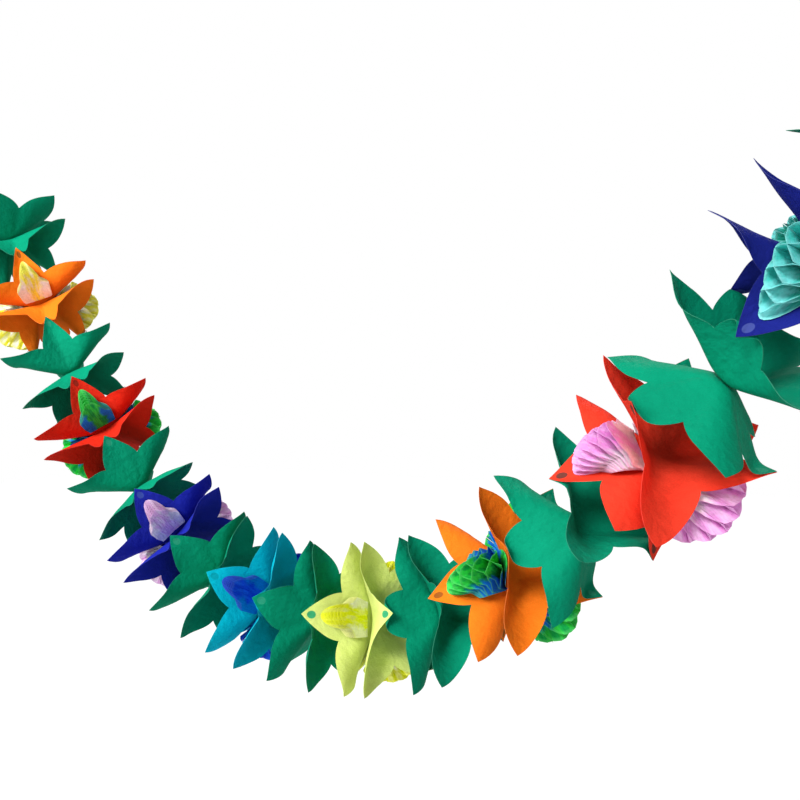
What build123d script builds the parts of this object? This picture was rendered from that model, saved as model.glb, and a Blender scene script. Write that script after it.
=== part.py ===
"""Tissue paper flower garland: die-cut sheets bonded in a chain and hung by two card tabs.

Millimetres, +Z up. The front faces -Y, and the right end is hung further forward than the left.
The origin is the middle of the hole in the left tab.
"""

import os
from math import asin, atan2, copysign, cos, hypot, pi, radians, sin, tan
from types import SimpleNamespace

from build123d import *

# Thickness of paper and card, and the air that stands for the glue between two pieces
PAPER = 0.4
CARD = 0.8
GAP = 0.3

# Die-cut sheet: every other petal is bonded to the next sheet near its tip, the rest are free
PETALS = 6
TIP_R = 76.0
NOTCH_R = 45.0
FOLD_R = 62.0
BOND_R = 8.0
EDGE_POWER = 2.0
SHOULDER = 0.33

# How the sheets stand when the garland is pulled open: the sine of the steepest cone they can make,
# the share of a cone's width that slack paper keeps, and how far the end sheets reach and lean
STEEPEST = 0.95
SLACK = 0.97
END_REACH = 22.0
END_LEAN = 10.0

# Honeycomb fan between the two sheets of a flower: its ridges, its hinge along and across the rib of
# the petal that it lies on, half the widths of a leaf at its flanks and at its tongue, how far its tip
# stays short of the petal's fold, and how much further than round the loose fans behind stand out
RIDGES = 6
FAN_HINGE = (17.0, 13.0)
FLANK_W = 16.0
TONGUE_W = 11.0
FAN_SHORT = 3.0
FAN_INSET = 1.8
FAN_SWELL = 1.45
GROOVE = 0.86

# Share of a flower's opening that its front fan fills: some lie half closed against the left sheet
FRONT_FANS = (0.35, 0.42, 0.35, 0.35, 0.45, 1.0, 0.8, 1.0)

# Card tab at each end
TAB_REACH = 46.0
TAB_W = 9.0
TAB_EYE_R = 7.0
HOLE_R = 2.5
FOOT = 5.0

# Joints down the hanging curve: x, y, z, then how far the free petals lean away from the joint in
# degrees, the upper two and the lower one, on the sheet before it and on the one after it.
# The first and every second one after it joins two leaf sheets, the others are flower centres.
JOINTS = (
    (-530, 0, 194, (15, 15), (15, 15)),
    (-478, 0, 112, (12, 12), (12, 12)),
    (-426, 0, 30, (25, 25), (25, 25)),
    (-370, 0, -35, (10, 10), (10, 10)),
    (-317, 0, -96, (26, 26), (26, 26)),
    (-262, 0, -143, (10, 10), (10, 10)),
    (-207, 0, -181, (12, 12), (12, 12)),
    (-144, 0, -199, (10, 10), (10, 10)),
    (-85, 0, -207, (12, 12), (12, 12)),
    (-25, 0, -201, (8, 8), (8, 8)),
    (42, 0, -186, (12, 12), (20, 12)),
    (114, -25, -136, (27, 27), (27, 5)),
    (176, -50, -92, (27, 27), (27, 27)),
    (232, -80, -36, (17, 12), (28, -8)),
    (275, -105, 12, (33, 15), (27, 27)),
    (333, -125, 74, (15, 15), (15, 15)),
    (381, -140, 126, (25, 25), (25, 25)),
)

# Rings of bonded tips between two joints: turn about the garland and lean of the lip, in degrees
RINGS = (
    (45, -45),
    (44, -45),
    (40, -45),
    (37, -45),
    (33, -45),
    (30, -45),
    (26, -45),
    (22, -45),
    (18, -45),
    (16, 78),
    (20, -45),
    (16, 45),
    (45, -45),
    (28, 45),
    (10, -45),
    (30, 45),
)

FRONT = Vector(0, -1, 0)
SECTOR = 2 * pi / PETALS
LOWER_PETAL = 4 * SECTOR
RIB = NOTCH_R * cos(SECTOR / 2)
STATIONS = (RIB, RIB + SHOULDER * (TIP_R - RIB), FOLD_R)
LAST = len(JOINTS) - 1


def tangent(points, i):
    """Direction of the garland at a joint, halfway between its two neighbours' directions."""
    steps = [points[j + 1] - points[j] for j in (i - 1, i) if 0 <= j < LAST]
    return sum((step.normalized() for step in steps), Vector()).normalized()


hung = [Vector(x, y, z) for x, y, z, *leans in JOINTS]
left_eye = hung[0] - tangent(hung, 0) * TAB_REACH
line = [point - left_eye for point in hung]


def facing(way):
    """Front of the garland, square to a direction along it."""
    return (FRONT - way * way.dot(FRONT)).normalized()


def half_width(x):
    """Half the width of a petal at a distance along its rib."""
    share = max(x - RIB, 0) / (TIP_R - RIB)
    return min(x, RIB) * tan(SECTOR / 2) * (1 - share**EDGE_POWER)


def place_sheet(joint, side):
    """Where the sheet before (-1) or after (+1) a joint sits, and the ring its tips reach to."""
    ring = joint if side > 0 else joint - 1
    along = tangent(line, joint)
    if 0 <= ring < LAST:
        axis = (line[ring + 1] - line[ring]).normalized()
        reach = (line[ring + 1] - line[ring]).length / 2
        turn, lean = RINGS[ring]
    else:
        axis, reach = along, END_REACH
        turn, lean = RINGS[min(joint, LAST - 1)][0], side * END_LEAN
    front = facing(axis)
    rib = FOLD_R - BOND_R
    slope = asin(min(reach / rib, STEEPEST))
    return SimpleNamespace(
        side=side,
        along=along,
        axis=axis,
        front=front,
        across=front.cross(axis),
        turn=radians(turn),
        lean=radians(lean),
        leans=[radians(free) for free in JOINTS[joint][3 if side < 0 else 4]],
        slope=slope,
        middle=line[joint] + along * side * (PAPER + GAP) / 2,
        ring=line[joint] + axis * side * reach,
        ring_r=BOND_R + SLACK * rib * cos(slope),
    )


def sheet_point(sheet, petal, x, y):
    """Where a point of the flat sheet goes, given along and across the rib of a petal."""
    reach = hypot(x, y)
    angle = atan2(y, x) + petal * SECTOR
    out = sheet.front * cos(angle + sheet.turn) + sheet.across * sin(angle + sheet.turn)
    flat = (out - sheet.along * out.dot(sheet.along)).normalized()
    start = sheet.middle + flat * min(reach, BOND_R)
    if reach <= BOND_R:
        return start
    lip = out * cos(sheet.lean) + sheet.axis * sin(sheet.lean)
    face = sheet.axis * cos(sheet.lean) - out * sin(sheet.lean)
    fold = sheet.ring + out * sheet.ring_r - face * sheet.side * (PAPER + GAP) / 2
    bonded = (fold - start) * min((reach - BOND_R) / (FOLD_R - BOND_R), 1) + lip * max(reach - FOLD_R, 0)
    free = sheet.leans[1 if angle % (2 * pi) > LOWER_PETAL else 0]
    lean = out * cos(free) + sheet.axis * sheet.side * sin(free)
    pull = (1 + cos(angle * PETALS / 2)) / 2
    return start + bonded * pull + lean * (reach - BOND_R) * (1 - pull)


def solid_from(triangles):
    """One solid closed by flat three-cornered facets."""
    return Solid(Shell([Face(Wire.make_polygon(corners)) for corners in triangles]))


def sheet_facets():
    """Corners of the flat sheet as (petal, x, y), its facets between the folds, and its outline."""
    corners, facets, outline = [], [], []

    def corner(petal, x, y):
        corners.append((petal, x, y))
        return len(corners) - 1

    bond = [corner(k, BOND_R, 0) for k in range(PETALS)]
    notch = [corner(k, RIB, half_width(RIB)) for k in range(PETALS)]
    facets += [(bond[0], bond[k], bond[k + 1]) for k in range(1, PETALS - 1)]
    for k in range(PETALS):
        right = [notch[k - 1]] + [corner(k, x, -half_width(x)) for x in STATIONS[1:]]
        left = [notch[k]] + [corner(k, x, half_width(x)) for x in STATIONS[1:]]
        rib = [corner(k, x, 0) for x in STATIONS]
        tip = corner(k, TIP_R, 0)
        facets += [(bond[k], right[0], rib[0]), (bond[k], rib[0], left[0])]
        facets += [(bond[k], left[0], bond[(k + 1) % PETALS])]
        for j in range(len(STATIONS) - 1):
            facets += [(right[j], right[j + 1], rib[j + 1]), (right[j], rib[j + 1], rib[j])]
            facets += [(rib[j], rib[j + 1], left[j + 1]), (rib[j], left[j + 1], left[j])]
        facets += [(right[-1], tip, rib[-1]), (rib[-1], tip, left[-1])]
        outline += right + [tip] + left[:0:-1]
    return corners, facets, outline


def facet_normal(a, b, c):
    return (b - a).cross(c - a)


def make_sheet(name, sheet):
    """A die-cut sheet folded to its place, as thick as the paper on every facet."""
    corners, facets, outline = sheet_facets()
    points = [sheet_point(sheet, *corner) for corner in corners]
    normals = [Vector() for point in points]
    for facet in facets:
        normal = facet_normal(*(points[i] for i in facet))
        for i in facet:
            normals[i] += normal
    flat = facet_normal(*(points[i] for i in facets[0])).normalized()
    normals[:PETALS] = [flat] * PETALS
    top = [point + normal.normalized() * PAPER / 2 for point, normal in zip(points, normals)]
    under = [point - normal.normalized() * PAPER / 2 for point, normal in zip(points, normals)]
    triangles = [[top[i] for i in facet] for facet in facets]
    triangles += [[under[i] for i in reversed(facet)] for facet in facets]
    for i, j in zip(outline, outline[1:] + outline[:1]):
        triangles += [[under[i], under[j], top[j]], [under[i], top[j], top[i]]]
    with BuildPart() as piece:
        add(solid_from(triangles))
    piece.part.label = name
    export_step(piece.part, f"parts/{name}.step")


def make_fan(name, before, after, petal, fill, swell):
    """A honeycomb fan in the V between a flower's two sheets, pleated along its rounded face."""

    def on_fold(sheet, x, y):
        rib = sheet_point(sheet, petal, x, 0)
        edge = sheet_point(sheet, petal, x, copysign(half_width(x), y))
        return rib + (edge - rib) * abs(y) / half_width(x)

    def spread(x, y, inset, share):
        start, end = on_fold(before, x, y), on_fold(after, x, y)
        span = end - start
        out = (start + end) / 2 - (before.middle + after.middle) / 2
        bulge = out.normalized() * span.length * swell * tan((before.slope + after.slope) / 4) / 2
        start += span.normalized() * inset
        return start + (end - start - span.normalized() * inset) * share + bulge * 4 * share * (1 - share)

    steep = cos((before.slope + after.slope) / 2)
    touch = PAPER / 2 / steep + GAP / 2
    clear = FAN_INSET / steep
    flank = [(RIB, -FLANK_W, clear), (STATIONS[1], -TONGUE_W, clear)]
    rim = flank + [(FOLD_R - FAN_SHORT, 0, touch)] + [(x, -y, inset) for x, y, inset in reversed(flank)]
    hinge = []
    for y in (-FAN_HINGE[1], FAN_HINGE[1]):
        pair = [sheet_point(sheet, petal, FAN_HINGE[0], y) for sheet in (before, after)]
        hinge.append((pair[0] + pair[1]) / 2)
    root = sum(hinge, Vector()) / 2
    leaves = []
    for j in range(2 * RIDGES - 1):
        share = fill * j / (2 * RIDGES - 2)
        depth = GROOVE if j % 2 else 1
        edge = [root + (spread(x, y, inset, share) - root) * depth for x, y, inset in rim]
        leaves.append([hinge[0]] + edge + [hinge[1]])
    triangles = []
    for near, far in zip(leaves, leaves[1:]):
        triangles += [[hinge[0], near[1], far[1]], [hinge[1], far[-2], near[-2]]]
        for i in range(1, len(near) - 2):
            triangles += [[near[i], near[i + 1], far[i + 1]], [near[i], far[i + 1], far[i]]]
    for leaf in (leaves[0][::-1], leaves[-1]):
        triangles += [[root, leaf[i], leaf[i + 1]] for i in range(len(leaf) - 1)]
    with BuildPart() as piece:
        add(solid_from(triangles))
    piece.part.label = name
    export_step(piece.part, f"parts/{name}.step")


def make_tab(name, joint, side):
    """A card tab folded at its foot, glued to the end sheet's middle and punched for a hook."""
    along = tangent(line, joint) * side
    outer_face = GAP / 2 + PAPER
    seat = line[joint] + along * (outer_face + GAP)
    eye = (line[joint] + along * TAB_REACH - seat).length
    stand = Plane(origin=seat, x_dir=along, z_dir=facing(along))
    with BuildPart() as tab:
        with BuildSketch(stand):
            with Locations((eye / 2, 0)):
                Rectangle(eye, TAB_W)
            with Locations((eye, 0)):
                Circle(TAB_EYE_R)
        extrude(amount=CARD / 2, both=True)
        with BuildSketch(stand.offset(-FOOT / 2)):
            with Locations((CARD / 2, 0)):
                Rectangle(CARD, TAB_W)
        extrude(amount=FOOT / 2, both=True)
        with BuildSketch(stand):
            with Locations((eye, 0)):
                Circle(HOLE_R)
        extrude(amount=CARD, both=True, mode=Mode.SUBTRACT)
    tab.part.label = name
    export_step(tab.part, f"parts/{name}.step")


os.makedirs("parts", exist_ok=True)
for joint in range(LAST + 1):
    before, after = place_sheet(joint, -1), place_sheet(joint, 1)
    kind = "flower" if joint % 2 else "leaf"
    number = joint // 2 + 1
    make_sheet(f"{kind}_{number}_left", before)
    make_sheet(f"{kind}_{number}_right", after)
    if kind == "flower":
        make_fan(f"fan_{number}_front", before, after, 0, FRONT_FANS[number - 1], 1)
        make_fan(f"fan_{number}_upper", before, after, 2, 1, FAN_SWELL)
        make_fan(f"fan_{number}_lower", before, after, 4, 1, FAN_SWELL)
make_tab("tab_left", 0, -1)
make_tab("tab_right", LAST, 1)
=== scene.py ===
"""Looks of a tissue paper flower garland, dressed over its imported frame.

Metres, +Z up. The garland's front faces -Y, its right end is hung further forward than the rest, and
the origin is the middle of the hole in its left tab.
"""

from math import asin, atan2, cos, exp, hypot, log1p, pi, radians, sin, tan
from types import SimpleNamespace

import bpy
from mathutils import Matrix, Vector, noise


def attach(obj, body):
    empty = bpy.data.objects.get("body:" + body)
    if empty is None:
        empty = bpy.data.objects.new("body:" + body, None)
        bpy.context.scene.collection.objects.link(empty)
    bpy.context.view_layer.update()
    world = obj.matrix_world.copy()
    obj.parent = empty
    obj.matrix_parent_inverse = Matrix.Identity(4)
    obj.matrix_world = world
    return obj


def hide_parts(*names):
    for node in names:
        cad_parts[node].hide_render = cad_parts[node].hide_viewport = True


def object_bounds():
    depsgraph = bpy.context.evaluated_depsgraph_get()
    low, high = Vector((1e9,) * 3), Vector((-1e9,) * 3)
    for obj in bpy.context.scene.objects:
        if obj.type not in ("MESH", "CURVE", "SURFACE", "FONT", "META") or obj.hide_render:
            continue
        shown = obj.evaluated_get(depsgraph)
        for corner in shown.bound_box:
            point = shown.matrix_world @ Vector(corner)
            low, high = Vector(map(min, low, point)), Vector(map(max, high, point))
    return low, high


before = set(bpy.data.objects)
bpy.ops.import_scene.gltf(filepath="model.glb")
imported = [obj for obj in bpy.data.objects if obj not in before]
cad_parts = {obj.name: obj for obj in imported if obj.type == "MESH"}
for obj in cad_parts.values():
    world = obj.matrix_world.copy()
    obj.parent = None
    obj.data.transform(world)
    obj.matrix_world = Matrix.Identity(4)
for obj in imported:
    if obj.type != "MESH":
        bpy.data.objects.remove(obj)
cad_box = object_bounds()

MM = 0.001

# Paper: the solids' thickness and the glue between sheets, which set where each sheet lies, then the
# finer thickness shown here of a sheet and of a honeycomb leaf
SOLID_PAPER = 0.4 * MM
GAP = 0.3 * MM
TISSUE = 0.22 * MM
COMB_TISSUE = 0.14 * MM

# Die-cut sheet: every other petal is bonded to the next sheet near its tip, the rest are free. The
# radii are of the tips, the notches, the folds of the bonded petals and the bonded middle. A higher
# edge power makes rounder petals. Petals count up from a bonded one, and past LOWER_FROM they are low
PETALS = 6
TIP_R = 76 * MM
NOTCH_R = 45 * MM
FOLD_R = 62 * MM
BOND_R = 8 * MM
EDGE_POWER = 2.0
LOWER_FROM = 4

# How the sheets stand when the garland is pulled open: the sine of the steepest petal, how near to
# its full length a petal reaches, the two end sheets, and how wide a fold bends
STEEPEST = 0.95
SLACK = 0.97
END_REACH = 22 * MM
END_LEAN = 10.0
CREASE = 2.5 * MM

# How loose tissue stands off: small crinkles, a ridge at each notch as wide as a share of a petal,
# and free petals that curl at the tip and at the edges, by so much at that distance from the rib
CRINKLE = 1.1 * MM
CRINKLE_SIZE = 28 * MM
NOTCH_LIFT = 2.6 * MM
NOTCH_SPREAD = 0.26
TIP_CURL = 9 * MM
EDGE_CURL = 24 * MM
EDGE_CURL_AT = 20 * MM
SHEET_SEED = 2.3
PETAL_SEED = 1.7
EDGE_SEEDS = (Vector((0.5, 9, 0.5)), Vector((0.5, 5, 0.5)))

# Honeycomb fan between the two sheets of a flower. Its leaves are drawn along and across their rib:
# the hinge, the flanks, half the width of the tongue, and the tip. Then come its gap to the sheets,
# how much more than an arc an open fan bulges, the flanks' share of the outline, how far off the
# hinge a leaf begins, the spaces between leaves, and the width of a cell
FAN_HINGE = (14.5 * MM, 15 * MM)
FAN_FLANK = (37 * MM, 18 * MM)
FAN_NECK = 12 * MM
FAN_TIP = 59 * MM
FAN_INSET = 0.8 * MM
FAN_SWELL = 1.45
FLANK_SHARE = 0.45
LEAF_ROOT = 0.04
LEAVES = 12
CELL = 8 * MM

# A fan open by less than this share is a closed pad. Its creases have this size across and along it
# and this depth, and its painted shade is nowhere darker than at this share of an open leaf
CLOSED = 0.5
PAD_CREASE = (3.2 * MM, 16 * MM)
PAD_LIFT = 3.4 * MM
PAD_SHADE_LIMIT = 0.85

# Grid of a sheet: rows along each petal and columns across it, and of a fan's leaf
SHEET_ROWS = 26
SHEET_COLUMNS = 10
LEAF_ROWS = 6
LEAF_COLUMNS = 20

# Joints down the hanging curve in millimetres: x, y, z, then how far the free petals lean away from
# the joint in degrees, the upper two and the lower one, on the sheet before it and the one after it
JOINTS = (
    (-530, 0, 194, (15, 15), (15, 15)),
    (-478, 0, 112, (12, 12), (12, 12)),
    (-426, 0, 30, (25, 25), (25, 25)),
    (-370, 0, -35, (10, 10), (10, 10)),
    (-317, 0, -96, (26, 26), (26, 26)),
    (-262, 0, -143, (10, 10), (10, 10)),
    (-207, 0, -181, (12, 12), (12, 12)),
    (-144, 0, -199, (10, 10), (10, 10)),
    (-85, 0, -207, (12, 12), (12, 12)),
    (-25, 0, -201, (8, 8), (8, 8)),
    (42, 0, -186, (12, 12), (20, 12)),
    (114, -25, -136, (27, 27), (27, 5)),
    (176, -50, -92, (27, 27), (27, 27)),
    (232, -80, -36, (17, 12), (28, -8)),
    (275, -105, 12, (33, 15), (27, 27)),
    (333, -125, 74, (15, 15), (15, 15)),
    (381, -140, 126, (25, 25), (25, 25)),
)

# Rings of bonded tips between two joints: turn about the garland and lean of the lip, in degrees
RINGS = (
    (45, -45),
    (44, -45),
    (40, -45),
    (37, -45),
    (33, -45),
    (30, -45),
    (26, -45),
    (22, -45),
    (18, -45),
    (16, 78),
    (20, -45),
    (16, 45),
    (45, -45),
    (28, 45),
    (10, -45),
    (30, 45),
)

# Colours as seen on a screen: paper, the spots where glue shows the next sheet through it and how
# strongly they show, and the share of light that comes through the paper
TISSUES = {
    "leaf": ((0, 142, 107), (110, 196, 174), 0.14, 0.15),
    "petal_orange": ((248, 128, 28), (92, 70, 34), 0.7, 0.2),
    "petal_red": ((226, 46, 26), (84, 40, 30), 0.6, 0.3),
    "petal_indigo": ((36, 48, 178), (90, 120, 190), 0.45, 0.35),
    "petal_teal": ((0, 194, 214), (0, 122, 124), 0.35, 0.35),
    "petal_lime": ((232, 242, 150), (40, 180, 126), 0.95, 0.4),
    "petal_coral": ((246, 72, 48), (84, 70, 62), 0.85, 0.35),
    "petal_violet": ((28, 38, 136), (104, 120, 190), 0.4, 0.25),
}

# Honeycomb tissue: colours of a leaf's tongue, of the streaks in it and of its flanks
COMBS = {
    "comb_lemon": ((252, 248, 92), (252, 252, 226), (250, 250, 250)),
    "comb_green_blue": ((56, 224, 84), (24, 178, 84), (30, 136, 236)),
    "comb_lilac": ((244, 206, 244), (250, 234, 250), (252, 252, 250)),
    "comb_blue": ((12, 66, 212), (26, 92, 224), (0, 122, 208)),
    "comb_yellow": ((246, 250, 30), (248, 250, 150), (252, 252, 246)),
    "comb_pink": ((255, 186, 246), (255, 214, 250), (255, 246, 252)),
    "comb_aqua": ((130, 232, 230), (90, 218, 210), (50, 196, 176)),
}

# Each flower's petals, its honeycomb and how far its front fan is open
FLOWERS = (
    ("petal_orange", "comb_lemon", 0.35),
    ("petal_red", "comb_green_blue", 0.42),
    ("petal_indigo", "comb_lilac", 0.35),
    ("petal_teal", "comb_blue", 0.35),
    ("petal_lime", "comb_yellow", 0.45),
    ("petal_orange", "comb_green_blue", 1),
    ("petal_coral", "comb_pink", 0.8),
    ("petal_violet", "comb_aqua", 1),
)

# Glue spots on the bonded petals
SPOT_AT = 67 * MM
SPOT_R = 4 * MM
SPOT_BLUR = 0.06

# Noise mostly runs between these two. Each noise has a scale and a detail
NOISE_LOW, NOISE_HIGH = 0.3, 0.7

# Sheets of tissue: noises, then what they do
BLOTCHES, BLOTCH_SHADE = (22, 3.0), (0.9, 1.1)
FIBRES, FIBRE_SHADE = (160, 4.0), (0.93, 1.07)
WRINKLES, GRAIN, GRAIN_DEPTH = (26, 5.0), (420, 2.0), 0.12
TISSUE_BUMP = {"Strength": 0.8, "Distance": 0.0016}
TISSUE_ROUGH = (0.68, 0.86)
TISSUE_SHINE = 0.08
# Painted highlight: the cut edges are mixed by this share towards white, as where a paper edge catches
# the light
CUT_HIGHLIGHT = 0.05

# Honeycomb tissue: the flanks' dye begins across and ends along a leaf with a ragged edge, streaks run
# along it, painted shade darkens it deep inside the cells and a painted highlight pales its rim
COMB_THROUGH = 0.25
STREAK_STRETCH = (9, 2.2, 1)
STREAKS, STREAK_EDGE = (1.6, 5.0), (0.46, 0.62)
RAGS, RAG_SIZE = (90, 4.0), (-0.06, 0.06)
FLANK_ACROSS, FLANK_ALONG = (0.13, 0.2), (0.84, 0.72)
COMB_GRAIN, COMB_SHADE = (420, 2.0), (0.92, 1.08)
DEEP_AT, DEEP_SHADE = (0.35, 0.85), (0.75, 1.0)
RIM_AT, RIM_HIGHLIGHT, RIM_HIGHLIGHT_WHITE = (0.93, 0.99), (0, 0.6), 0.25
COMB_CREASES, COMB_CRUMPLE, CRUMPLE_DEPTH = (3.0, 4.0), (260, 3.0), 0.3
COMB_BUMP = {"Strength": 0.9, "Distance": 0.0012}
COMB_ROUGH = (0.6, 0.8)

# Card of the tabs
CARD_COLOURS = ((240, 236, 226), (214, 206, 190))
CARD_FIBRES, CARD_MIX = (700, 4.0), (0.35, 0.7)
CARD_BUMP = {"Strength": 0.3, "Distance": 0.0003}
CARD_ROUGH = (0.7, 0.9)

# Suns in front, at the right and behind, softened by degrees, a lamp above the left part, and a floor
# that is plain where it lights the garland and white with a soft shadow where it is seen
WORLD_LIGHT = 0.16
LIGHT_AIM = Vector((0.5, 0, -0.25))
KEY_PLACE = Vector((0.35, -2.0, 0.9))
KEY_POWER = 2.9
KEY_SOFT = 18.0
FILL_PLACE = Vector((1.0, -0.9, -0.35))
FILL_POWER = 0.9
FILL_SOFT = 30.0
BACK_PLACE = Vector((0.3, 1.8, 1.3))
BACK_POWER = 1.2
BACK_SOFT = 30.0
TOP_PLACE = Vector((0.15, -0.75, 0.2))
TOP_POWER = 9
TOP_SIZE = 0.6
FLOOR_BELOW = 0.5
FLOOR_HALF = 6.0
FLOOR_PLAIN = 0.7
FLOOR_GLOW = 0.74
FLOOR_SHADE = 0.36

# Camera, in the photograph's plane through the garland: turn, distance and lens for a 36 mm sensor
CAMERA_TURN = 27.0
CAMERA_AWAY = 674.3 * MM
CAMERA_LENS = 33.75

# Distance from an end joint to the hole in its tab
TAB_REACH = 46 * MM

FRONT = Vector((0, -1, 0))
WHITE = (1, 1, 1, 1)
SECTOR = 2 * pi / PETALS
RIB = NOTCH_R * cos(SECTOR / 2)
LAST = len(JOINTS) - 1


def tangent(points, i):
    """Direction of the garland at a joint, halfway between its two neighbours' directions."""
    steps = [points[j + 1] - points[j] for j in (i - 1, i) if 0 <= j < LAST]
    return sum((step.normalized() for step in steps), Vector()).normalized()


hung = [Vector(joint[:3]) * MM for joint in JOINTS]
left_eye = hung[0] - tangent(hung, 0) * TAB_REACH
line = [point - left_eye for point in hung]


def half_width(x):
    """Half the width of a petal at a distance along its rib."""
    share = max(x - RIB, 0) / (TIP_R - RIB)
    return min(x, RIB) * tan(SECTOR / 2) * (1 - share**EDGE_POWER)


def soft_ramp(x, width):
    """Zero below zero and x above it, with a bend of that width between them."""
    return x + width * log1p(exp(-x / width)) if x > 0 else width * log1p(exp(x / width))


def smooth(low, high, x):
    """Zero below low, one above high and a smooth step between them."""
    share = min(max((x - low) / (high - low), 0), 1)
    return share * share * (3 - 2 * share)


def pull_at(angle):
    """How far a part of a sheet is drawn to its bonded tips: one on their ribs, zero on free ribs."""
    return (1 + cos(angle * PETALS / 2)) / 2


def place_sheet(joint, side):
    """Where the sheet before (-1) or after (+1) a joint sits, and the ring its tips reach to."""
    ring = joint if side > 0 else joint - 1
    along = tangent(line, joint)
    if 0 <= ring < LAST:
        step = line[ring + 1] - line[ring]
        axis, reach = step.normalized(), step.length / 2
        turn, lean = RINGS[ring]
    else:
        axis, reach = along, END_REACH
        turn, lean = RINGS[min(joint, LAST - 1)][0], side * END_LEAN
    front = (FRONT - axis * axis.dot(FRONT)).normalized()
    rib = FOLD_R - BOND_R
    slope = asin(min(reach / rib, STEEPEST))
    return SimpleNamespace(
        side=side,
        along=along,
        axis=axis,
        front=front,
        across=front.cross(axis),
        turn=radians(turn),
        lean=radians(lean),
        leans=[radians(angle) for angle in JOINTS[joint][3 if side < 0 else 4]],
        slope=slope,
        middle=line[joint] + along * side * (SOLID_PAPER + GAP) / 2,
        ring=line[joint] + axis * side * reach,
        ring_r=BOND_R + SLACK * rib * cos(slope),
        seed=Vector((joint, side, 0)),
    )


def sheet_point(sheet, angle, reach):
    """Where a point of the flat sheet goes, given by its angle and its distance from the middle."""
    out = sheet.front * cos(angle + sheet.turn) + sheet.across * sin(angle + sheet.turn)
    flat = (out - sheet.along * out.dot(sheet.along)).normalized()
    root = sheet.middle + flat * BOND_R
    lip = out * cos(sheet.lean) + sheet.axis * sin(sheet.lean)
    face = sheet.axis * cos(sheet.lean) - out * sin(sheet.lean)
    fold = sheet.ring + out * sheet.ring_r - face * sheet.side * (SOLID_PAPER + GAP) / 2
    beyond = soft_ramp(reach - BOND_R, CREASE)
    folded = soft_ramp(reach - FOLD_R, CREASE)
    bonded = (fold - root) * (beyond - folded) / (FOLD_R - BOND_R) + lip * folded
    upper, lower = sheet.leans
    free = lower if angle % (2 * pi) > LOWER_FROM * SECTOR else upper
    lean = out * cos(free) + sheet.axis * sheet.side * sin(free)
    pull = pull_at(angle)
    return sheet.middle + flat * (reach - beyond) + bonded * pull + lean * beyond * (1 - pull)


def crinkle(sheet, angle, reach):
    """How far the loose parts of a sheet stand off their plain curve."""
    loose = 1 - pull_at(angle)
    place = Vector((cos(angle), sin(angle), 0)) * reach / CRINKLE_SIZE + sheet.seed * PETALS
    small = CRINKLE * loose * smooth(BOND_R, FOLD_R, reach) * noise.noise(place)

    beside = abs(angle / SECTOR % 1 - 0.5) / NOTCH_SPREAD
    ridge = NOTCH_LIFT * max(1 - beside, 0) * smooth(BOND_R, RIB, reach)

    petal = round(angle / SECTOR)
    off_rib = reach * sin(angle - petal * SECTOR)
    own = sheet.seed * SHEET_SEED + Vector((0, 0, petal % PETALS * PETAL_SEED))
    edge = EDGE_CURL * (off_rib / EDGE_CURL_AT) ** 2
    edge *= noise.noise(own + EDGE_SEEDS[off_rib > 0])
    curl = (TIP_CURL * noise.noise(own) + edge) * loose * smooth(NOTCH_R, TIP_R, reach)
    return small + ridge + curl


def thin_shell(name, points, faces, spots, thickness):
    """A closed shell of one thickness on both sides of a surface, with a flat place for each point."""
    mesh = bpy.data.meshes.new(name)
    mesh.from_pydata(points, [], faces)
    normals = [vertex.normal.copy() for vertex in mesh.vertices]
    uses = dict.fromkeys(pair for face in faces for pair in zip(face, face[1:] + face[:1]))
    rim = [(i, j) for i, j in uses if (j, i) not in uses]
    count = len(points)
    top = [point + normal * thickness / 2 for point, normal in zip(points, normals)]
    under = [point - normal * thickness / 2 for point, normal in zip(points, normals)]
    shell = faces + [tuple(count + i for i in reversed(face)) for face in faces]
    shell += [(j, i, count + i, count + j) for i, j in rim]
    mesh.clear_geometry()
    mesh.from_pydata(top + under, [], shell)
    mesh.polygons.foreach_set("use_smooth", [True] * len(shell))
    flat = mesh.uv_layers.new(name="flat")
    for loop in mesh.loops:
        flat.data[loop.index].uv = spots[loop.vertex_index % count]
    cut = mesh.attributes.new("cut_edge", "FLOAT", "FACE")
    cut.data.foreach_set("value", [0.0] * (2 * len(faces)) + [1.0] * len(rim))
    edges = {tuple(sorted(pair)) for pair in rim}
    edges |= {(i + count, j + count) for i, j in edges}
    sharp = mesh.attributes.new("sharp_edge", "BOOLEAN", "EDGE")
    sharp.data.foreach_set("value", [tuple(sorted(edge.vertices)) in edges for edge in mesh.edges])
    piece = bpy.data.objects.new(name, mesh)
    bpy.context.scene.collection.objects.link(piece)
    return piece


def sheet_grid():
    """Points of the flat sheet as (angle, reach), and its faces."""
    spots, faces, index = [], [], {}

    def spot(petal, x, y):
        angle, reach = atan2(y, x) + petal * SECTOR, hypot(x, y)
        key = (round(reach * cos(angle) / MM, 3) + 0.0, round(reach * sin(angle) / MM, 3) + 0.0)
        if key not in index:
            index[key] = len(spots)
            spots.append((angle, reach))
        return index[key]

    inner = round(SHEET_ROWS * RIB / TIP_R)
    rows = [RIB * i / inner for i in range(inner)]
    outer = SHEET_ROWS - inner
    rows += [RIB + (TIP_R - RIB) * i / outer for i in range(outer + 1)]
    columns = [2 * j / SHEET_COLUMNS - 1 for j in range(SHEET_COLUMNS + 1)]
    for petal in range(PETALS):
        grid = [[spot(petal, x, half_width(x) * u) for u in columns] for x in rows]
        for near, far in zip(grid, grid[1:]):
            for j in range(SHEET_COLUMNS):
                corners = dict.fromkeys((near[j], far[j], far[j + 1], near[j + 1]))
                faces.append(tuple(corners))
    return spots, faces


def flat_place(angle, reach):
    """Where a point of the flat sheet is on it, from zero to one both ways."""
    return 0.5 + reach * cos(angle) / (2 * TIP_R), 0.5 + reach * sin(angle) / (2 * TIP_R)


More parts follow.
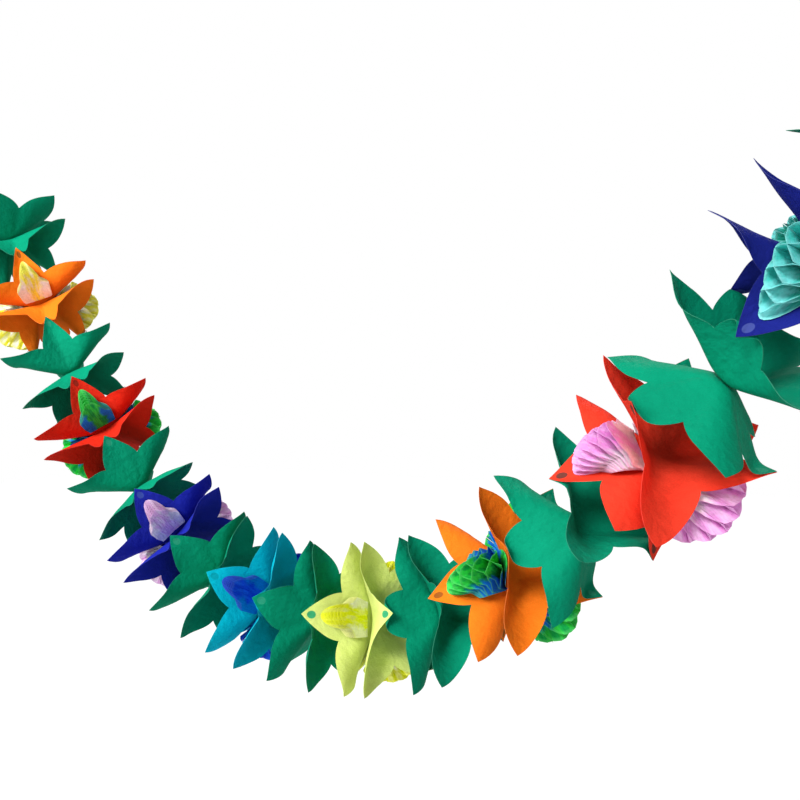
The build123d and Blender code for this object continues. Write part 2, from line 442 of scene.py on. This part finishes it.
def make_sheet(node, sheet, slot, grid):
    """A die-cut tissue sheet, folded and crinkled where it hangs."""
    spots, faces = grid
    face_on = sheet.axis * sheet.side
    points = [sheet_point(sheet, *spot) + face_on * crinkle(sheet, *spot) for spot in spots]
    flat = [flat_place(*spot) for spot in spots]
    piece = thin_shell(f"{node}_tissue", points, faces, flat, TISSUE)
    finish_piece(piece, node, slot)


def leaf_outline(u):
    """Outline of a honeycomb leaf, along and across its rib: flanks beside the hinge, then a tongue."""
    out = abs(u)
    if out > 1 - FLANK_SHARE:
        share = (1 - out) / FLANK_SHARE
        x = FAN_HINGE[0] + (FAN_FLANK[0] - FAN_HINGE[0]) * share
        y = FAN_HINGE[1] + (FAN_FLANK[1] - FAN_HINGE[1]) * share
    else:
        angle = out / (1 - FLANK_SHARE) * pi / 2
        x = FAN_FLANK[0] + (FAN_TIP - FAN_FLANK[0]) * cos(angle)
        y = FAN_NECK * sin(angle)
    return x, y if u > 0 else -y


def make_fan(node, before, after, petal, fill, swell, slot):
    """A honeycomb fan: thin leaves hinged in the V of a flower and glued to each other in turns."""

    def between(x, y):
        angle, reach = atan2(y, x) + petal * SECTOR, hypot(x, y)
        return sheet_point(before, angle, reach), sheet_point(after, angle, reach)

    columns = [2 * i / LEAF_COLUMNS - 1 for i in range(LEAF_COLUMNS + 1)]
    root = [sum(between(FAN_HINGE[0], u * FAN_HINGE[1]), Vector()) / 2 for u in columns]
    outline = [leaf_outline(u) for u in columns]
    edges = [between(x, y) for x, y in outline]
    middle = (before.middle + after.middle) / 2
    # An arc round the joint bulges this far over its chord, as a share of the chord
    swell *= tan((before.slope + after.slope) / 4) / 2
    points, faces, spots, rows = [], [], [], []
    for leaf in range(LEAVES + 1):
        first = len(points)
        for i, u in enumerate(columns):
            start, end = edges[i]
            span = end - start
            bulge = ((start + end) / 2 - middle).normalized() * span.length * swell
            inset = FAN_INSET / span.length
            wave = cos(outline[i][1] / CELL * pi) * (-1) ** leaf / (2 * LEAVES)
            share = leaf / LEAVES + (0 if leaf in (0, LEAVES) else wave)
            share = inset + (1 - 2 * inset) * share * fill
            rim = start + span * share + bulge * 4 * share * (1 - share)
            for row in range(LEAF_ROWS + 1):
                t = LEAF_ROOT + (1 - LEAF_ROOT) * row / LEAF_ROWS
                x = FAN_HINGE[0] + (outline[i][0] - FAN_HINGE[0]) * t
                y = u * FAN_HINGE[1] + (outline[i][1] - u * FAN_HINGE[1]) * t
                lift = PAD_LIFT * t * (leaf / LEAVES) ** 2 if fill < CLOSED else 0
                lift *= noise.noise(Vector((y / PAD_CREASE[0], x / PAD_CREASE[1], before.seed.x)))
                points.append(root[i].lerp(rim, t) + span.normalized() * lift)
                spots.append((0.5 + y / (4 * FAN_NECK), x / FAN_TIP))
                # How far along its leaf a point lies, for the painted shade deep in the cells and the
                # painted highlight at the rim; on a closed pad the painted shade is held to the rim's
                # share
                rows.append(t if fill >= CLOSED else max(t, PAD_SHADE_LIMIT))
        for i in range(LEAF_COLUMNS):
            for row in range(LEAF_ROWS):
                a = first + i * (LEAF_ROWS + 1) + row
                b = a + LEAF_ROWS + 1
                faces.append((a, b, b + 1, a + 1))
    piece = thin_shell(f"{node}_comb", points, faces, spots, COMB_TISSUE)
    depth = piece.data.attributes.new("leaf_rim", "FLOAT", "POINT")
    depth.data.foreach_set("value", rows + rows)
    finish_piece(piece, node, slot)


def finish_piece(piece, node, slot):
    """Gives a piece its material, hangs it under the root body and hides the frame part it stands for.
    """
    piece.data.materials.append(materials[slot])
    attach(piece, "root")
    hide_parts(node)


def paint(colour):
    """A colour as seen on a screen, made linear for a shader by the sRGB formula."""

    def linear(value):
        value /= 255
        return value / 12.92 if value <= 0.04045 else ((value + 0.055) / 1.055) ** 2.4

    return tuple(linear(value) for value in colour) + (1,)


class Nodes:
    """Short calls to make and link the nodes of one material or world."""

    def __init__(self, owner):
        owner.use_nodes = True
        self.owner = owner
        self.tree = owner.node_tree
        self.tree.nodes.clear()

    def add(self, kind, inputs=None, **settings):
        node = self.tree.nodes.new(kind)
        for key, value in settings.items():
            setattr(node, key, value)
        for key, value in (inputs or {}).items():
            if isinstance(value, bpy.types.NodeSocket):
                self.tree.links.new(value, node.inputs[key])
            else:
                node.inputs[key].default_value = value
        return node

    def noise(self, place, scale, detail):
        inputs = {"Vector": place, "Scale": scale, "Detail": detail}
        return self.add("ShaderNodeTexNoise", inputs).outputs["Fac"]

    def ranged(self, value, low, high, to_low, to_high):
        inputs = {"Value": value, "From Min": low, "From Max": high}
        inputs |= {"To Min": to_low, "To Max": to_high}
        return self.add("ShaderNodeMapRange", inputs).outputs["Result"]

    def spread(self, noise, low, high):
        """A noise stretched to run from low to high."""
        return self.ranged(noise, NOISE_LOW, NOISE_HIGH, low, high)

    def math(self, operation, *values):
        return self.add("ShaderNodeMath", dict(enumerate(values)), operation=operation).outputs[0]

    def mix(self, share, low, high):
        inputs = {0: share, 6: low, 7: high}
        return self.add("ShaderNodeMix", inputs, data_type="RGBA").outputs[2]

    def shaded(self, colour, share):
        """A colour made lighter or darker by a number around one."""
        inputs = {"Color": colour, "Value": share}
        return self.add("ShaderNodeHueSaturation", inputs).outputs["Color"]

    def tissue(self, colour, rough, bump, through):
        """Thin paper: a rough face and some light that comes through from behind."""
        face = self.add(
            "ShaderNodeBsdfPrincipled",
            {
                "Base Color": colour,
                "Roughness": rough,
                "Specular IOR Level": TISSUE_SHINE,
                "Normal": bump,
            },
        )
        glow = self.add("ShaderNodeBsdfTranslucent", {"Color": colour, "Normal": bump})
        both = self.add("ShaderNodeMixShader", {0: through, 1: face.outputs[0], 2: glow.outputs[0]})
        self.add("ShaderNodeOutputMaterial", {"Surface": both.outputs[0]})
        return self.owner


def make_tissue(name, colour, glue, strength, through):
    """Dyed tissue with fibres, soft blotches, glue spots on the bonded tips and cut edges made paler by
    a painted highlight.
    """
    n = Nodes(bpy.data.materials.new(name))
    flat = n.add("ShaderNodeUVMap", uv_map="flat").outputs["UV"]
    place = n.add("ShaderNodeTexCoord").outputs["Object"]
    blotch = n.spread(n.noise(place, *BLOTCHES), *BLOTCH_SHADE)
    fibre = n.spread(n.noise(flat, *FIBRES), *FIBRE_SHADE)
    base = n.shaded(paint(colour), n.math("MULTIPLY", blotch, fibre))
    spots = []
    for petal in range(0, PETALS, 2):
        middle = flat_place(petal * SECTOR, SPOT_AT) + (0,)
        away = n.add("ShaderNodeVectorMath", {0: flat, 1: middle}, operation="DISTANCE")
        spots.append(away.outputs["Value"])
    near = n.math("MINIMUM", n.math("MINIMUM", spots[0], spots[1]), spots[2])
    spot_r = SPOT_R / (2 * TIP_R)
    spot = n.ranged(near, spot_r * (1 + SPOT_BLUR), spot_r * (1 - SPOT_BLUR), 0, strength)
    base = n.mix(spot, base, paint(glue))
    # Painted highlight: the cut edges are mixed a little towards white
    cut = n.add("ShaderNodeAttribute", attribute_name="cut_edge").outputs["Fac"]
    base = n.mix(n.math("MULTIPLY", cut, CUT_HIGHLIGHT), base, WHITE)
    grain = n.noise(flat, *GRAIN)
    height = n.math("ADD", n.noise(flat, *WRINKLES), n.math("MULTIPLY", grain, GRAIN_DEPTH))
    bump = n.add("ShaderNodeBump", {"Height": height, **TISSUE_BUMP}).outputs[0]
    return n.tissue(base, n.spread(grain, *TISSUE_ROUGH), bump, through)


def make_comb_tissue(name, colours):
    """Dip-dyed honeycomb tissue: a dyed tongue with streaks along it and flanks of another colour."""
    n = Nodes(bpy.data.materials.new(name))
    flat = n.add("ShaderNodeUVMap", uv_map="flat").outputs["UV"]
    place = n.add("ShaderNodeTexCoord").outputs["Object"]
    parts = n.add("ShaderNodeSeparateXYZ", {0: flat})
    across, along = parts.outputs["X"], parts.outputs["Y"]
    side = n.math("ABSOLUTE", n.math("SUBTRACT", across, 0.5))
    mapping = n.add("ShaderNodeMapping", {"Vector": flat, "Scale": STREAK_STRETCH})
    stretch = mapping.outputs["Vector"]
    streak = n.noise(stretch, *STREAKS)
    rag = n.spread(n.noise(place, *RAGS), *RAG_SIZE)
    wide = n.ranged(n.math("ADD", side, rag), *FLANK_ACROSS, 0, 1)
    flank = n.math("MULTIPLY", wide, n.ranged(n.math("ADD", along, rag), *FLANK_ALONG, 0, 1))
    tongue = n.mix(n.ranged(streak, *STREAK_EDGE, 0, 1), paint(colours[0]), paint(colours[1]))
    base = n.mix(flank, tongue, paint(colours[2]))
    base = n.shaded(base, n.spread(n.noise(place, *COMB_GRAIN), *COMB_SHADE))
    rim = n.add("ShaderNodeAttribute", attribute_name="leaf_rim").outputs["Fac"]
    # Painted shade: darker deep inside the cells, where the leaves shade each other
    base = n.shaded(base, n.ranged(rim, *DEEP_AT, *DEEP_SHADE))
    # Painted highlight: the rim of each leaf is paled towards the tongue's colour mixed with white, as
    # where leaf edges catch the light
    pale = paint([value + (255 - value) * RIM_HIGHLIGHT_WHITE for value in colours[0]])
    base = n.mix(n.ranged(rim, *RIM_AT, *RIM_HIGHLIGHT), base, pale)
    crumple = n.math("MULTIPLY", n.noise(place, *COMB_CRUMPLE), CRUMPLE_DEPTH)
    creases = n.math("ADD", n.noise(stretch, *COMB_CREASES), crumple)
    bump = n.add("ShaderNodeBump", {"Height": creases, **COMB_BUMP}).outputs[0]
    return n.tissue(base, n.spread(streak, *COMB_ROUGH), bump, COMB_THROUGH)


def make_card():
    """Uncoated card with grey fibres."""
    n = Nodes(bpy.data.materials.new("card_stock"))
    place = n.add("ShaderNodeTexCoord").outputs["Object"]
    fibre = n.noise(place, *CARD_FIBRES)
    pale, dark = (paint(colour) for colour in CARD_COLOURS)
    base = n.mix(n.ranged(fibre, *CARD_MIX, 0, 1), pale, dark)
    bump = n.add("ShaderNodeBump", {"Height": fibre, **CARD_BUMP}).outputs[0]
    inputs = {"Base Color": base, "Roughness": n.spread(fibre, *CARD_ROUGH), "Normal": bump}
    face = n.add("ShaderNodeBsdfPrincipled", inputs)
    n.add("ShaderNodeOutputMaterial", {"Surface": face.outputs[0]})
    return n.owner


def white_for_camera(n, light, white):
    """White wherever the camera or a reflection looks, and a shader for plain light elsewhere."""
    rays = n.add("ShaderNodeLightPath").outputs
    shiny = n.math("MAXIMUM", rays["Is Glossy Ray"], rays["Is Transmission Ray"])
    seen = n.math("MAXIMUM", rays["Is Camera Ray"], shiny)
    mixed = n.add("ShaderNodeMixShader", {0: seen, 1: light.outputs[0], 2: white.outputs[0]})
    return mixed.outputs[0]


def make_world():
    """Even light from all round, seen as white."""
    n = Nodes(bpy.data.worlds.new("studio"))
    light = n.add("ShaderNodeBackground", {"Color": WHITE, "Strength": WORLD_LIGHT})
    white = n.add("ShaderNodeBackground", {"Color": WHITE})
    n.add("ShaderNodeOutputWorld", {"Surface": white_for_camera(n, light, white)})
    bpy.context.scene.world = n.owner


def make_floor():
    """A wide floor below the garland."""
    low = cad_box[0][2] - FLOOR_BELOW
    middle = (cad_box[0][0] + cad_box[1][0]) / 2
    left, right = middle - FLOOR_HALF, middle + FLOOR_HALF
    near, far = -FLOOR_HALF, FLOOR_HALF
    corners = [(left, near, low), (right, near, low), (right, far, low), (left, far, low)]
    mesh = bpy.data.meshes.new("floor")
    mesh.from_pydata(corners, [], [(0, 1, 2, 3)])
    floor = bpy.data.objects.new("floor", mesh)
    bpy.context.scene.collection.objects.link(floor)
    n = Nodes(bpy.data.materials.new("floor_paint"))
    plain = n.add("ShaderNodeBsdfDiffuse", {"Color": (FLOOR_PLAIN,) * 3 + (1,)})
    glow = n.add("ShaderNodeEmission", {"Strength": FLOOR_GLOW})
    shade = n.add("ShaderNodeBsdfDiffuse", {"Color": (FLOOR_SHADE,) * 3 + (1,)})
    white = n.add("ShaderNodeAddShader", {0: glow.outputs[0], 1: shade.outputs[0]})
    n.add("ShaderNodeOutputMaterial", {"Surface": white_for_camera(n, plain, white)})
    mesh.materials.append(n.owner)


def make_light(name, kind, place, power, **settings):
    """A lamp at a place, turned to the garland."""
    light = bpy.data.lights.new(name, kind)
    light.energy = power
    for key, value in settings.items():
        setattr(light, key, value)
    lamp = bpy.data.objects.new(name, light)
    lamp.location = place
    lamp.rotation_euler = (LIGHT_AIM - place).to_track_quat("-Z", "Y").to_euler()
    bpy.context.scene.collection.objects.link(lamp)


def make_camera():
    """The photograph's camera."""
    turn = radians(CAMERA_TURN)
    data = bpy.data.cameras.new("camera")
    data.lens = CAMERA_LENS
    camera = bpy.data.objects.new("camera", data)
    camera.location = Vector((sin(turn), -cos(turn), 0)) * CAMERA_AWAY - left_eye
    camera.rotation_euler = (pi / 2, 0, turn)
    bpy.context.scene.collection.objects.link(camera)
    bpy.context.scene.camera = camera


materials = {slot: make_tissue(slot + "_paper", *colours) for slot, colours in TISSUES.items()}
materials |= {slot: make_comb_tissue(slot + "_paper", colours) for slot, colours in COMBS.items()}

grid = sheet_grid()
for joint in range(LAST + 1):
    before, after = place_sheet(joint, -1), place_sheet(joint, 1)
    number = joint // 2 + 1
    is_flower = joint % 2 == 1
    kind, slot = "leaf", "leaf"
    if is_flower:
        kind = "flower"
        slot, comb, fill = FLOWERS[number - 1]
    make_sheet(f"{kind}_{number}_left", before, slot, grid)
    make_sheet(f"{kind}_{number}_right", after, slot, grid)
    if is_flower:
        make_fan(f"fan_{number}_front", before, after, 0, fill, 1, comb)
        make_fan(f"fan_{number}_upper", before, after, 2, 1, FAN_SWELL, comb)
        make_fan(f"fan_{number}_lower", before, after, 4, 1, FAN_SWELL, comb)

card = make_card()
for node in ("tab_left", "tab_right"):
    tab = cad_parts[node]
    tab.data.materials.clear()
    tab.data.materials.append(card)

make_world()
make_floor()
make_light("key", "SUN", KEY_PLACE, KEY_POWER, angle=radians(KEY_SOFT))
make_light("fill", "SUN", FILL_PLACE, FILL_POWER, angle=radians(FILL_SOFT))
make_light("back", "SUN", BACK_PLACE, BACK_POWER, angle=radians(BACK_SOFT))
make_light("top", "AREA", TOP_PLACE, TOP_POWER, shape="DISK", size=TOP_SIZE)
make_camera()
bpy.context.scene.view_settings.view_transform = "Standard"
